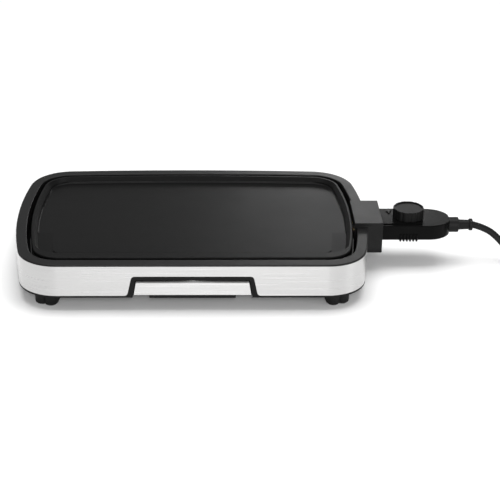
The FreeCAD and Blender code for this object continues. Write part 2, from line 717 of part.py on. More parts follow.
# ---- drip tray ------------------------------------------------------------------------------
def drip_tray():
    """Pan with side flanges, a front panel and the pull lip under the steel face."""
    pan = box(-TRAY_HALF, TRAY_HALF, TRAY_FRONT_Y, TRAY_BACK_Y, TRAY_FLOOR_Z, TRAY_TOP_Z)
    tall = [edge for edge in pan.Edges if edge.BoundBox.ZLength > 5]
    back_corners = [edge for edge in tall if edge.BoundBox.YMin > TRAY_BACK_Y - 0.01]
    pan = pan.makeFillet(8.0, back_corners)
    room = box(
        -TRAY_HALF + TRAY_WALL,
        TRAY_HALF - TRAY_WALL,
        TRAY_FRONT_Y + TRAY_WALL,
        TRAY_BACK_Y - TRAY_WALL,
        TRAY_FLOOR_Z + TRAY_WALL,
        TRAY_TOP_Z + 1,
    )
    upright_edges = [edge for edge in room.Edges if edge.BoundBox.ZLength > 5]
    room = room.makeFillet(6.0, upright_edges)
    reach = TRAY_HALF + 3.6
    flanges = box(-reach, reach, TRAY_FRONT_Y, TRAY_BACK_Y - 10, TRAY_TOP_Z - 1.5, TRAY_TOP_Z)
    panel_points = [
        (-HANDLE_HALF_BOTTOM, HANDLE_BOTTOM),
        (-HANDLE_HALF_TOP, HANDLE_TOP - 0.5),
        (HANDLE_HALF_TOP, HANDLE_TOP - 0.5),
        (HANDLE_HALF_BOTTOM, HANDLE_BOTTOM),
    ]
    panel = front_profile(panel_points, [0, 0, 0, 0], FRONT_Y + 1.0, TRAY_FRONT_Y)
    pull = box(-PULL_HALF, PULL_HALF, FRONT_Y + 1.0, FRONT_Y + 4.0, PULL_BOTTOM, HANDLE_BOTTOM)
    upright_edges = [edge for edge in pull.Edges if edge.BoundBox.ZLength > 3]
    pull = pull.makeFillet(1.0, edges_at(pull, PULL_BOTTOM) + upright_edges)
    link_half = PULL_HALF - 1
    link = box(-link_half, link_half, FRONT_Y + 1.0, TRAY_FRONT_Y + 1, TRAY_FLOOR_Z, HANDLE_BOTTOM + 1)
    return joined([pan, flanges, panel, pull, link]).cut(room)


def tray_handle():
    """Bent steel face of the tray, with a bevelled top edge."""
    sheet = 1.0
    outside = [
        (FRONT_Y, HANDLE_BOTTOM),
        (FRONT_Y, HANDLE_TOP),
        (FRONT_Y + HANDLE_BEVEL, HANDLE_TOP + HANDLE_BEVEL),
        (TRAY_FRONT_Y, HANDLE_TOP + HANDLE_BEVEL),
        (TRAY_FRONT_Y, HANDLE_TOP + HANDLE_BEVEL - sheet),
        (FRONT_Y + HANDLE_BEVEL + 0.4, HANDLE_TOP + HANDLE_BEVEL - sheet),
        (FRONT_Y + sheet, HANDLE_TOP - 0.4),
        (FRONT_Y + sheet, HANDLE_BOTTOM),
    ]
    sheet_metal = side_profile(outside, -80, 80)
    slope = (HANDLE_HALF_BOTTOM - HANDLE_HALF_TOP) / (HANDLE_TOP - HANDLE_BOTTOM)
    half_high = HANDLE_HALF_TOP - slope * 4
    half_low = HANDLE_HALF_BOTTOM + slope * 4
    trapezoid = [
        (-half_low, HANDLE_BOTTOM - 4),
        (-half_high, HANDLE_TOP + 4),
        (half_high, HANDLE_TOP + 4),
        (half_low, HANDLE_BOTTOM - 4),
    ]
    return sheet_metal.common(front_profile(trapezoid, [0, 0, 0, 0], FRONT_Y - 1, TRAY_FRONT_Y + 1))


def tray_rail():
    """Left-hand rail on the bottom cover that the tray's flange runs on."""
    rail = box(-66.6, -62.6, TRAY_FRONT_Y + 3, TRAY_BACK_Y - 8, COVER_TOP, TRAY_TOP_Z - 1.8)
    fence = box(-68.2, -66.6, TRAY_FRONT_Y + 3, TRAY_BACK_Y - 8, COVER_TOP, TRAY_TOP_Z)
    return joined([rail, fence])


# ---- controller -----------------------------------------------------------------------------
def controller_outline(inset, z, x0):
    """Plan of the controller: straight sides and an elliptical nose."""
    half = CTRL_HALF - inset
    nose = CTRL_NOSE_LENGTH - inset
    centre = Vector(CTRL_NOSE_X, SOCKET_Y, z)
    ellipse = Part.Ellipse(centre + RIGHT * nose, centre + BACK * half, centre)
    near = Vector(CTRL_NOSE_X, SOCKET_Y - half, z)
    far = Vector(CTRL_NOSE_X, SOCKET_Y + half, z)
    corner_near = Vector(x0, near.y, z)
    corner_far = Vector(x0, far.y, z)
    edges = [
        Part.ArcOfEllipse(ellipse, -math.pi / 2, 0).toShape(),
        Part.ArcOfEllipse(ellipse, 0, math.pi / 2).toShape(),
        Part.LineSegment(corner_near, near).toShape(),
        Part.LineSegment(far, corner_far).toShape(),
        Part.LineSegment(corner_far, corner_near).toShape(),
    ]
    return Part.Wire(Part.sortEdges(edges)[0])


def controller_slab(inset, z0, z1, x0):
    return slab(controller_outline(inset, z0, x0), z1 - z0)


def round_edges(shape, z, x0):
    """Horizontal edges at one height, without the one on the socket side."""
    return [edge for edge in edges_at(shape, z) if edge.BoundBox.XMax > x0 + 1]


def controller_room(z0, z1):
    """The hollow inside both halves of the case; it stops short of the end wall."""
    room = controller_slab(CTRL_WALL, z0, z1, CTRL_X0 + CTRL_WALL)
    return room.cut(box(CTRL_ROOM_END_X, CTRL_END_X + 5, -40, 40, z0 - 1, z1 + 1))


def case_openings():
    """What both halves leave free: the nose beyond the end wall, the cord's hole and the neck."""
    beyond = box(CTRL_END_X, CTRL_END_X + 10, -40, 40, CTRL_BOTTOM - 1, CTRL_TOP + 1)
    root = rod(
        RELIEF_RADIUS[0], (CTRL_ROOM_END_X - 1, SOCKET_Y, CTRL_SPLIT), (CTRL_END_X + 1, SOCKET_Y, CTRL_SPLIT)
    )
    return group([joined([beyond, root]), neck_inside()])


def neck_inside():
    """The part of the neck that is held in the case."""
    return box(CTRL_X0 - 1, NECK_X[1], SOCKET_Y - NECK_HALF, SOCKET_Y + NECK_HALF, NECK_INNER_Z, NECK_Z[1])


def controller_upper():
    """Upper half of the controller's case, with the raised panel under the knob."""
    case = controller_slab(0, CTRL_SPLIT, CTRL_TOP, CTRL_X0)
    case = case.makeChamfer(CTRL_BEVEL, round_edges(case, CTRL_TOP, CTRL_X0))
    bosses = [upright(CTRL_BOSS_RADIUS, x, y, CTRL_SPLIT, CTRL_TOP - 1) for x, y in CTRL_SCREWS]
    panel = box(CTRL_X0, PANEL_END_X, *PANEL_Y, CTRL_TOP - 1, PANEL_TOP)
    case = joined([case.cut(controller_room(CTRL_SPLIT - 1, CTRL_TOP - CTRL_WALL)), panel] + bosses)
    for x, y in CTRL_SCREWS:
        case = case.cut(upright(1.2, x, y, CTRL_SPLIT - 1, CTRL_SPLIT + 6))
    case = case.cut(upright(SPINDLE_RADIUS + 0.3, KNOB_X, SOCKET_Y, CTRL_TOP - 4, PANEL_TOP + 1))
    case = case.cut(lens_prism(CTRL_TOP - 4, PANEL_TOP + 1))
    return case.cut(case_openings())


def grip_rib(x, side):
    """Rib on one side of the lower case, which rounds over at the bottom."""
    y = SOCKET_Y + side * (CTRL_HALF - 0.1)
    y_in = y - side * 4.5
    half = GRIP_RIB_RADIUS - 0.2
    low = CTRL_BOTTOM - 0.9
    return [
        upright(GRIP_RIB_RADIUS, x, y, low, CTRL_SPLIT - 1.2),
        box(x - half, x + half, min(y, y_in), max(y, y_in), low, CTRL_BOTTOM + 4),
    ]


def controller_lower():
    """Lower half of the case, with grip ribs on both sides."""
    case = controller_slab(0, CTRL_BOTTOM, CTRL_SPLIT, CTRL_X0)
    case = case.makeFillet(CTRL_LOW_ROUNDING, round_edges(case, CTRL_BOTTOM, CTRL_X0))
    ribs = []
    for index in range(GRIP_RIBS):
        for side in (-1, 1):
            ribs += grip_rib(GRIP_RIB_X + index * GRIP_RIB_PITCH, side)
    room = controller_room(CTRL_BOTTOM + CTRL_WALL, CTRL_SPLIT + 1)
    bosses = [upright(CTRL_BOSS_RADIUS, x, y, CTRL_BOTTOM + 1, CTRL_SPLIT) for x, y in CTRL_SCREWS]
    case = joined([joined([case] + ribs).cut(room)] + bosses)
    for x, y in CTRL_SCREWS:
        case = case.cut(upright(1.4, x, y, CTRL_BOTTOM - 1, CTRL_SPLIT + 1))
        case = case.cut(upright(2.5, x, y, CTRL_BOTTOM - 1, CTRL_BOTTOM + 2))
    return case.cut(case_openings())


def contact_carrier():
    """Neck of the controller: it enters the socket and carries the contacts."""
    y0 = SOCKET_Y - NECK_HALF
    y1 = SOCKET_Y + NECK_HALF
    outside = box(NECK_X[0], CTRL_X0, y0, y1, *NECK_Z)
    body = joined([outside, box(CTRL_X0, NECK_X[1], y0, y1, NECK_INNER_Z, NECK_Z[1])])
    for y in PIN_YS:
        body = body.cut(rod(3.7, (223, y, TERMINAL_Z), (253, y, TERMINAL_Z)))
    body = body.cut(rod(2.9, (223, SOCKET_Y, TERMINAL_Z), (253, SOCKET_Y, TERMINAL_Z)))
    return body.cut(box(223, 253, SOCKET_Y - 4.6, SOCKET_Y + 4.6, 40.2, 43.4))


def contact_tube(y):
    tube = rod(3.7, (224, y, TERMINAL_Z), (251, y, TERMINAL_Z))
    return tube.cut(rod(2.8, (223, y, TERMINAL_Z), (246, y, TERMINAL_Z)))


def knob():
    """Scalloped knob with a shallow dish in its top."""
    body = upright(KNOB_RADIUS, KNOB_X, SOCKET_Y, KNOB_BOTTOM, KNOB_TOP)
    body = body.makeChamfer(0.5, edges_at(body, KNOB_TOP))
    flutes = []
    reach = KNOB_RADIUS + KNOB_FLUTE_RADIUS - KNOB_FLUTE_DEPTH
    for index in range(KNOB_FLUTES):
        angle = 2 * math.pi * index / KNOB_FLUTES
        x = KNOB_X + reach * math.cos(angle)
        y = SOCKET_Y + reach * math.sin(angle)
        flutes.append(upright(KNOB_FLUTE_RADIUS, x, y, KNOB_BOTTOM - 1, KNOB_TOP + 1))
    body = body.cut(group(flutes))
    body = body.cut(upright(KNOB_RADIUS - KNOB_RIM, KNOB_X, SOCKET_Y, KNOB_TOP - KNOB_DISH, KNOB_TOP + 1))
    return body.cut(upright(SPINDLE_RADIUS, KNOB_X, SOCKET_Y, KNOB_BOTTOM - 1, KNOB_BOTTOM + SPINDLE_DEPTH))


def knob_spindle():
    """Spindle with the cam that sets the thermostat."""
    shaft = upright(SPINDLE_RADIUS, KNOB_X, SOCKET_Y, CAM_Z[0], KNOB_BOTTOM + SPINDLE_DEPTH)
    return joined([shaft, upright(5.5, KNOB_X, SOCKET_Y, *CAM_Z)])


def lens_prism(z0, z1):
    """Small jagged arrow beside the knob."""
    points = [
        (257.0, 19.6, z0),
        (258.0, 14.2, z0),
        (260.6, 15.0, z0),
        (257.8, 9.5, z0),
        (254.4, 2.2, z0),
        (255.4, 8.5, z0),
        (253.0, 12.2, z0),
    ]
    return slab(rounded_path(points, [0.3] * len(points), closed=True), z1 - z0)


def pilot_lens():
    return lens_prism(CTRL_TOP - CTRL_WALL, PANEL_TOP + LENS_RISE)


def thermostat_switch():
    """Bimetal switch under the spindle's cam."""
    body = box(266, 296, SOCKET_Y - 10, SOCKET_Y + 10, 42.5, 49.5)
    stack = box(270, 290, SOCKET_Y - 4, SOCKET_Y + 4, 49.5, CAM_Z[0] - 0.2)
    return joined([body, stack])


def on_cord_axis(x):
    """A point on the line that the cord leaves the case along."""
    return (x, SOCKET_Y, CTRL_SPLIT)


def strain_collar():
    collar = rod(COLLAR_RADIUS, on_cord_axis(CTRL_END_X), on_cord_axis(COLLAR_END_X))
    outer = [edge for edge in collar.Edges if edge.BoundBox.XMin > COLLAR_END_X - 0.01]
    collar = collar.makeFillet(0.8, outer)
    return collar.cut(rod(RELIEF_RADIUS[0], on_cord_axis(CTRL_END_X - 1), on_cord_axis(COLLAR_END_X + 1)))


def strain_relief():
    """Tapered sleeve with an end ring, gripped by the collar and the end wall."""
    root = rod(RELIEF_RADIUS[0], on_cord_axis(CTRL_ROOM_END_X), on_cord_axis(COLLAR_END_X))
    sleeve = taper(*RELIEF_RADIUS, on_cord_axis(COLLAR_END_X), on_cord_axis(RING_X))
    ring = rod(RING_RADIUS, on_cord_axis(RING_X), on_cord_axis(RELIEF_END_X))
    ring = ring.makeFillet(1.4, [edge for edge in ring.Edges if edge.BoundBox.XLength < 0.01])
    return joined([root, sleeve, ring])


def cord_clamp():
    """Bar clamp that holds the cord inside the case."""
    bar = box(318, 325, SOCKET_Y - 9, SOCKET_Y + 9, 43.5, 55.5)
    return bar.cut(rod(CORD_DIAMETER / 2, on_cord_axis(317), on_cord_axis(326)))


def inner_cable():
    """End of the cord's sheath inside the case."""
    return rod(CORD_DIAMETER / 2, on_cord_axis(314), on_cord_axis(CTRL_ROOM_END_X))


def inner_wires():
    """Two insulated wires from the sheath to the contacts, one on each side of the switch."""
    wires = []
    for side, end_y in ((-1, PIN_YS[0]), (1, PIN_YS[1])):
        points = [
            (314, SOCKET_Y + side * 2.2, CTRL_SPLIT),
            (302, SOCKET_Y + side * 5.0, CTRL_SPLIT),
            (294, SOCKET_Y + side * 13.0, TERMINAL_Z),
            (263, SOCKET_Y + side * 13.0, TERMINAL_Z),
            (257, end_y, TERMINAL_Z),
            (251, end_y, TERMINAL_Z),
        ]
        wires.append(tube_along(rounded_path(points, [0, 4, 4, 4, 4, 0]), 1.2))
    return group(wires)


# ---- cord -----------------------------------------------------------------------------------
def arc_radii(route):
    """For each corner: 0.45 of its shorter run, over the tangent of half the turn."""
    points = [Vector(*point) for point in route]
    radii = [0.0]
    for before, corner, after in zip(points, points[1:], points[2:]):
        run_in = corner - before
        run_out = after - corner
        turn = run_in.getAngle(run_out)
        radii.append(0.45 * min(run_in.Length, run_out.Length) / math.tan(turn / 2))
    radii.append(0.0)
    return radii


def cord_tube(name, route):
    """A cord stretch of straight runs and tangent arcs, with its volume compared."""
    radii = arc_radii(route)
    path = rounded_path(route, radii)
    tube = tube_along(path, CORD_DIAMETER / 2)
    expected = math.pi * (CORD_DIAMETER / 2) ** 2 * path.Length
    shown = ", ".join(f"{radius:.0f}" for radius in radii[1:-1])
    print(f"{name}: length {path.Length:.1f}, radii {shown}, volume ratio {tube.Volume / expected:.4f}")
    return tube, path.Length


def cord_coil():
    """Outer shape of the wound length: two layers of two turns and one turn on top."""
    low = CORD_REST_Z - CORD_DIAMETER / 2
    inner = COIL_INNER_TURN - CORD_DIAMETER / 2
    outer = COIL_OUTER_TURN + CORD_DIAMETER / 2
    middle = (COIL_INNER_TURN + COIL_OUTER_TURN) / 2
    layers_top = low + 2 * COIL_LAYER
    top = CORD_REST_Z + COIL_LAYER + COIL_TOP_RISE + CORD_DIAMETER / 2
    profile = [
        (inner, low),
        (outer, low),
        (outer, layers_top),
        (middle + CORD_DIAMETER / 2, top - 1.5),
        (middle + 1, top),
        (middle - 1, top),
        (middle - CORD_DIAMETER / 2, top - 1.5),
        (inner, layers_top),
    ]
    x, y = COIL_CENTRE
    points = [(x + radius, y, z) for radius, z in profile]
    wire = rounded_path(points, [3, 3, 2, 1, 0, 0, 1, 2], closed=True)
    return Part.Face(wire).revolve(Vector(x, y, 0), UP, 360)


# ---- plug -----------------------------------------------------------------------------------
def plug_body():
    """Round two-pin plug, lying on its side, with a tapered cord sleeve."""
    x = TAIL_ROUTE[-1][0]
    start = TAIL_ROUTE[-1][1]
    z = PLUG_AXIS_Z
    sleeve = taper(5.4, 8.6, (x, start, z), (x, start + 20, z))
    shoulder = taper(8.6, 16.0, (x, start + 20, z), (x, start + 34, z))
    grip = taper(16.0, PLUG_BODY_RADIUS, (x, start + 34, z), (x, start + 44, z))
    face = rod(PLUG_BODY_RADIUS, (x, start + 44, z), (x, PLUG_FACE_Y, z))
    body = joined([sleeve, shoulder, grip, face])
    rim = [edge for edge in body.Edges if edge.BoundBox.YMin > PLUG_FACE_Y - 0.01]
    body = body.makeFillet(1.0, rim)
    for side in (-1, 1):
        low = z + side * PLUG_CLIP_OFFSET
        slot_z = (min(low, low + side * 3), max(low, low + side * 3))
        slot_start = start + PLUG_CLIP_START
        body = body.cut(box(x - PLUG_CLIP_HALF, x + PLUG_CLIP_HALF, slot_start, PLUG_FACE_Y + 1, *slot_z))
    for side in (-1, 1):
        pin_x = x + side * PLUG_PIN_SPACING / 2
        deep = (pin_x, PLUG_FACE_Y - PLUG_TANG_DEPTH, z)
        body = body.cut(rod(PLUG_TANG_RADIUS, deep, (pin_x, PLUG_FACE_Y + 1, z)))
    return body


def plug_pin(side):
    """Round pin with a dome at its end and a thinner tang in the plug."""
    x = TAIL_ROUTE[-1][0] + side * PLUG_PIN_SPACING / 2
    z = PLUG_AXIS_Z
    shoulder = (x, PLUG_FACE_Y + PLUG_TANG_REACH, z)
    end = (x, PLUG_FACE_Y + PLUG_PIN_LENGTH, z)
    tang = rod(PLUG_TANG_RADIUS, (x, PLUG_FACE_Y - PLUG_TANG_DEPTH, z), shoulder)
    dome = Part.makeSphere(PLUG_PIN_RADIUS, Vector(*end))
    return joined([tang, rod(PLUG_PIN_RADIUS, shoulder, end), dome])


def plug_earth_clips():
    """Sprung earth strips in the plug's two side slots."""
    x = TAIL_ROUTE[-1][0]
    start = TAIL_ROUTE[-1][1] + PLUG_CLIP_START
    strips = []
    for side in (-1, 1):
        inner = PLUG_AXIS_Z + side * PLUG_CLIP_OFFSET
        outer = inner + side * 0.9
        across = (x - PLUG_CLIP_HALF, x + PLUG_CLIP_HALF)
        strips.append(box(*across, start, PLUG_FACE_Y - 0.5, min(inner, outer), max(inner, outer)))
    return group(strips)


# ---- assembly -------------------------------------------------------------------------------
def build():
    lead, lead_length = cord_tube("cord_lead", LEAD_ROUTE)
    tail, tail_length = cord_tube("cord_tail", TAIL_ROUTE)
    print(f"cord left for the coil: {CORD_LENGTH - lead_length - tail_length:.0f}")
    nodes = {
        "base_frame": base_frame(),
        "steel_band": steel_band(),
        "bottom_cover": bottom_cover(),
        "cooking_plate": cooking_plate(),
        "heating_element": heating_element(),
        "element_clamps": element_clamps(),
        "heat_shield": heat_shield(),
        "plate_standoffs": plate_standoffs(),
        "socket_insulator": socket_insulator(),
        "terminal_pin_live": terminal_pin(PIN_YS[0]),
        "terminal_pin_neutral": terminal_pin(PIN_YS[1]),
        "earth_blade": box(206, 234, SOCKET_Y - 4, SOCKET_Y + 4, *EARTH_Z),
        "socket_cap": socket_cap(),
        "probe_bush": probe_bush(),
        "drip_tray": drip_tray(),
        "tray_handle": tray_handle(),
        "tray_rail_left": tray_rail(),
        "tray_rail_right": mirrored_x(tray_rail()),
        "controller_upper": controller_upper(),
        "controller_lower": controller_lower(),
        "contact_carrier": contact_carrier(),
        "contact_live": contact_tube(PIN_YS[0]),
        "contact_neutral": contact_tube(PIN_YS[1]),
        "earth_spring": box(226, 251, SOCKET_Y - 3, SOCKET_Y + 3, 42.4, 43.2),
        "probe_rod": rod(2.9, (184, SOCKET_Y, TERMINAL_Z), (264, SOCKET_Y, TERMINAL_Z)),
        "knob": knob(),
        "knob_spindle": knob_spindle(),
        "pilot_lens": pilot_lens(),
        "pilot_lamp": upright(2.6, 255.6, 6.4, 48.5, 57.5),
        "thermostat_switch": thermostat_switch(),
        "strain_collar": strain_collar(),
        "strain_relief": strain_relief(),
        "cord_clamp": cord_clamp(),
        "inner_cable": inner_cable(),
        "inner_wires": inner_wires(),
        "cord_lead": lead,
        "cord_coil": cord_coil(),
        "cord_tail": tail,
        "plug_body": plug_body(),
        "plug_pin_left": plug_pin(-1),
        "plug_pin_right": plug_pin(1),
        "plug_earth_clips": plug_earth_clips(),
    }
    for name, sign_x, sign_y in foot_places():
        nodes[f"foot_{name}"] = placed_corner(foot(), sign_x, sign_y)
        nodes[f"foot_pad_{name}"] = placed_corner(foot_pad(), sign_x, sign_y)
    nodes["cover_screws"] = group(
        [screw(x, y, COVER_BOTTOM, 30, 1.5, 3.0, 1.8) for x, y in COVER_SCREWS]
    )
    nodes["plate_screws"] = group(
        [screw(x, y, COVER_BOTTOM, 49, 2.0, 4.0, 2.4) for x, y in STANDOFFS]
    )
    nodes["foot_screws"] = group(
        [screw(x, y, COVER_TOP, 9, 1.5, 3.0, 1.8, head_down=False) for x, y in foot_screw_places()]
    )
    nodes["clamp_screws"] = group(
        [screw(x, y, PLATE_BOTTOM - 1.2, PLATE_BOTTOM + 2.6, 1.5, 2.6, 1.6) for x, y in clamp_screw_places()]
    )
    nodes["cap_screws"] = group(
        [screw(x, y, CAP_BOTTOM + 1.6, 41, 1.25, 2.4, 1.2) for x, y in CAP_SCREWS]
    )
    nodes["controller_screws"] = group(
        [screw(x, y, CTRL_BOTTOM + 2, CTRL_SPLIT + 5, 1.2, 2.3, 1.4) for x, y in CTRL_SCREWS]
    )
    return nodes


os.makedirs("parts", exist_ok=True)
for node_name, node_shape in build().items():
    if not node_shape.isValid():
        print("not valid:", node_name)
    node_shape.exportStep(f"parts/{node_name}.step")
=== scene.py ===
"""Looks of the electric griddle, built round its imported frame. Metres, +Z up, +X to the controller."""
import json
import math

import bpy
from mathutils import Matrix, Vector


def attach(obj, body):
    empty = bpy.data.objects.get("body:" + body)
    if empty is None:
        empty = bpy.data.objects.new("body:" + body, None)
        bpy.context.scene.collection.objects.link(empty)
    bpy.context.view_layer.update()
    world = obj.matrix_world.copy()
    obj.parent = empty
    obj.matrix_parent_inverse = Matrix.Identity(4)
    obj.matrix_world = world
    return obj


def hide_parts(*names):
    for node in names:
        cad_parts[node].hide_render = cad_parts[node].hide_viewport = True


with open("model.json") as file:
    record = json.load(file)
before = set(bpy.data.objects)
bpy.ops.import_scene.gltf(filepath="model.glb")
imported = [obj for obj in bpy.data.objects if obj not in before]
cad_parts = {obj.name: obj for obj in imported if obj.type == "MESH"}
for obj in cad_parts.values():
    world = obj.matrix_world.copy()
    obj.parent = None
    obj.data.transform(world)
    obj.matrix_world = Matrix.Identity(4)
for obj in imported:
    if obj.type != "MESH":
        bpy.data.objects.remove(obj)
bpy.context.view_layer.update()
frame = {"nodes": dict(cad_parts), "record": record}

NODES = frame["nodes"]
RECORD = frame["record"]

# ---- camera ---------------------------------------------------------------------------------
CAMERA_PLACE = (-0.0051, -1.8294, 0.8927)
CAMERA_PITCH = math.radians(25.73)
CAMERA_YAW = math.radians(1.532)
CAMERA_ROLL = math.radians(0.635)
CAMERA_LENS = 111.6
CAMERA_SHIFT = 0.0486

# ---- cord: the route's points where it isn't coiled -----------------------------------------
CORD_DIAMETER = 0.0088
CORD_LEAD = [
    (0.3645, -0.0040, 0.0495),
    (0.3825, -0.0048, 0.0448),
    (0.3990, -0.0086, 0.0324),
    (0.4130, -0.0148, 0.0166),
    (0.4310, -0.0228, 0.0068),
    (0.4540, -0.0310, 0.0046),
    (0.4770, -0.0355, 0.0045),
]
# The tail's first point is where the coil ends, and the coil's own last point takes its place.
CORD_TAIL = [
    (0.5294, 0.0059, 0.0215),
    (0.5338, 0.0260, 0.0228),
    (0.5385, 0.0470, 0.0212),
    (0.5405, 0.0680, 0.0186),
]
CORD_RESOLUTION = 6

# ---- coil: a little over four turns, in two layers with its last part on top ----------------
COIL_CENTRE = (0.482, 0.016)
COIL_START = math.radians(-90)
COIL_STEP = math.radians(20)
COIL_FLOOR = 0.0045
COIL_INNER = 0.0441
COIL_OUTER = COIL_INNER + CORD_DIAMETER
COIL_MIDDLE = (COIL_INNER + COIL_OUTER) / 2
COIL_SECOND = COIL_FLOOR + CORD_DIAMETER
COIL_NESTING = 0.0076
COIL_TOP = COIL_SECOND + COIL_NESTING
# Stations of the coil's lay, in degrees turned from its start: (degrees, radius, height).
COIL_LAY = [
    (0, COIL_OUTER, COIL_FLOOR),
    (300, COIL_OUTER, COIL_FLOOR),
    (360, COIL_INNER, COIL_FLOOR),
    (600, COIL_INNER, COIL_FLOOR),
    (660, COIL_INNER, COIL_SECOND),
    (900, COIL_INNER, COIL_SECOND),
    (960, COIL_OUTER, COIL_SECOND),
    (1200, COIL_OUTER, COIL_SECOND),
    (1260, COIL_MIDDLE, COIL_TOP),
    (1510, COIL_MIDDLE, COIL_TOP),
]

# ---- stage ----------------------------------------------------------------------------------
FLOOR_SIDE = 12.0
FLOOR_GREY = 0.86
FLOOR_ROUGHNESS = 0.9
FLOOR_SPECULAR = 0.1
WORLD_STRENGTH = 0.4
# Each area light: (name, place, aim, (width, height), watts).
LIGHTS = [
    ("overhead", (0.1, 0.3, 2.2), (0.1, 0, 0), (2.2, 1.6), 52),
    ("back_right", (0.5, 2.6, 0.85), (0.2, 0.1, 0), (0.6, 0.4), 4.5),
    ("right", (2.2, -1.0, 0.35), (0.3, 0, 0.05), (0.7, 0.6), 12),
    ("front_strip", (0.1, -3.0, 1.1), (0.03, -0.1, 0), (0.35, 1.6), 60),
]

# ---- steps shared by the materials ----------------------------------------------------------
PLASTIC_TONE = 0.12
PLASTIC_GLOSS = 0.04
COARSE_GRAIN = 7
RUBBER_TONE = 0.15
METAL_DARK = 0.85
BRUSH_TURN = 0.25
BRUSH_ANISOTROPY = 0.75
LAMP_TRANSMISSION = 0.6


# ---- materials ------------------------------------------------------------------------------
class Surface:
    """A material put together from nodes, with its patterns in the object's own metres."""

    def __init__(self, name, colour, roughness, metallic=0.0, specular=0.5):
        self.material = bpy.data.materials.new(name)
        self.material.use_nodes = True
        tree = self.material.node_tree
        self.nodes = tree.nodes
        self.links = tree.links
        self.shader = self.nodes["Principled BSDF"]
        self.shader.inputs["Base Color"].default_value = (*colour, 1)
        self.shader.inputs["Roughness"].default_value = roughness
        self.shader.inputs["Metallic"].default_value = metallic
        self.shader.inputs["Specular IOR Level"].default_value = specular
        self.place = self.nodes.new("ShaderNodeTexCoord").outputs["Object"]

    def noise(self, per_metre, detail=2.0, stretch=(1, 1, 1)):
        """Noise with that many features in a metre; stretch multiplies the count along each axis."""
        mapping = self.nodes.new("ShaderNodeMapping")
        mapping.inputs["Scale"].default_value = stretch
        self.links.new(self.place, mapping.inputs["Vector"])
        texture = self.nodes.new("ShaderNodeTexNoise")
        texture.inputs["Scale"].default_value = per_metre
        texture.inputs["Detail"].default_value = detail
        self.links.new(mapping.outputs["Vector"], texture.inputs["Vector"])
        return texture.outputs["Fac"]

    def ramp(self, value, low, high, to_low=0.0, to_high=1.0):
        """A value between low and high, carried over to another range."""
        node = self.nodes.new("ShaderNodeMapRange")
        node.inputs["From Min"].default_value = low
        node.inputs["From Max"].default_value = high
        node.inputs["To Min"].default_value = to_low
        node.inputs["To Max"].default_value = to_high
        self.links.new(value, node.inputs["Value"])
        return node.outputs["Result"]

    def colour(self, value, dark, light):
        """Base colour between two, by a value from 0 to 1."""
        node = self.nodes.new("ShaderNodeMix")
        node.data_type = "RGBA"
        node.inputs["A"].default_value = (*dark, 1)
        node.inputs["B"].default_value = (*light, 1)
        self.links.new(value, node.inputs["Factor"])
        self.links.new(node.outputs["Result"], self.shader.inputs["Base Color"])

    def roughness(self, value):
        self.links.new(value, self.shader.inputs["Roughness"])

    def bump(self, layers):
        """Surface relief from (height value, depth in metres) pairs, one on another."""
        normal = None
        for height, depth in layers:
            node = self.nodes.new("ShaderNodeBump")
            node.inputs["Strength"].default_value = 1.0
            node.inputs["Distance"].default_value = depth
            self.links.new(height, node.inputs["Height"])
            if normal is not None:
                self.links.new(normal, node.inputs["Normal"])
            normal = node.outputs["Normal"]
        self.links.new(normal, self.shader.inputs["Normal"])


def grey(level, warm=0.0):
    """A grey, warmer where warm is above 0."""
    return (level * (1 + warm), level, level * (1 - warm))


def moulded_plastic(name, level, roughness, grain=2200, depth=2.0e-5, specular=0.5):
    """Black plastic with a fine spark-eroded grain and faint cloudy gloss."""
    surface = Surface(name, grey(level), roughness, specular=specular)
    cloud = surface.noise(30, detail=3)
    dark = grey(level * (1 - PLASTIC_TONE))
    light = grey(level * (1 + PLASTIC_TONE))
    surface.colour(surface.ramp(cloud, 0.3, 0.7), dark, light)
    smooth = roughness - PLASTIC_GLOSS
    dull = roughness + PLASTIC_GLOSS
    surface.roughness(surface.ramp(cloud, 0.25, 0.75, smooth, dull))
    fine = surface.noise(grain, detail=2)
    coarse = surface.noise(grain / COARSE_GRAIN)
    surface.bump([(fine, depth), (coarse, depth * 0.8)])
    return surface.material


def brushed_steel(name, level, roughness):
    """Stainless strip brushed along its length: fine level streaks that fade in and out."""
    surface = Surface(name, grey(level), roughness, metallic=1.0)
    fine = surface.noise(260, detail=4, stretch=(0.06, 0.06, 14))
    broad = surface.noise(90, detail=3, stretch=(0.12, 0.12, 6))
    surface.colour(surface.ramp(fine, 0.3, 0.7), grey(level * 0.96, 0.005), grey(level * 1.03, 0.004))
    surface.roughness(surface.ramp(broad, 0.3, 0.7, roughness - 0.05, roughness + 0.05))
    surface.bump([(fine, 0.5e-5)])
    surface.shader.inputs["Anisotropic"].default_value = BRUSH_ANISOTROPY
    surface.shader.inputs["Anisotropic Rotation"].default_value = BRUSH_TURN
    tangent = surface.nodes.new("ShaderNodeTangent")
    tangent.direction_type = "RADIAL"
    tangent.axis = "Z"
    surface.links.new(tangent.outputs["Tangent"], surface.shader.inputs["Tangent"])
    return surface.material


def coated_plate():
    """Non-stick coating: dark, a little orange-peel, with fine lighter flecks."""
    surface = Surface("non_stick_coating", grey(0.003), 0.36, specular=0.07)
    flecks = surface.ramp(surface.noise(1500, detail=1), 0.66, 0.74)
    surface.colour(flecks, grey(0.0035), grey(0.012))
    cloud = surface.noise(18, detail=4)
    surface.roughness(surface.ramp(cloud, 0.25, 0.75, 0.33, 0.39))
    surface.bump([(surface.noise(420, detail=2), 2.5e-5), (surface.noise(2600), 1.2e-5)])
    return surface.material


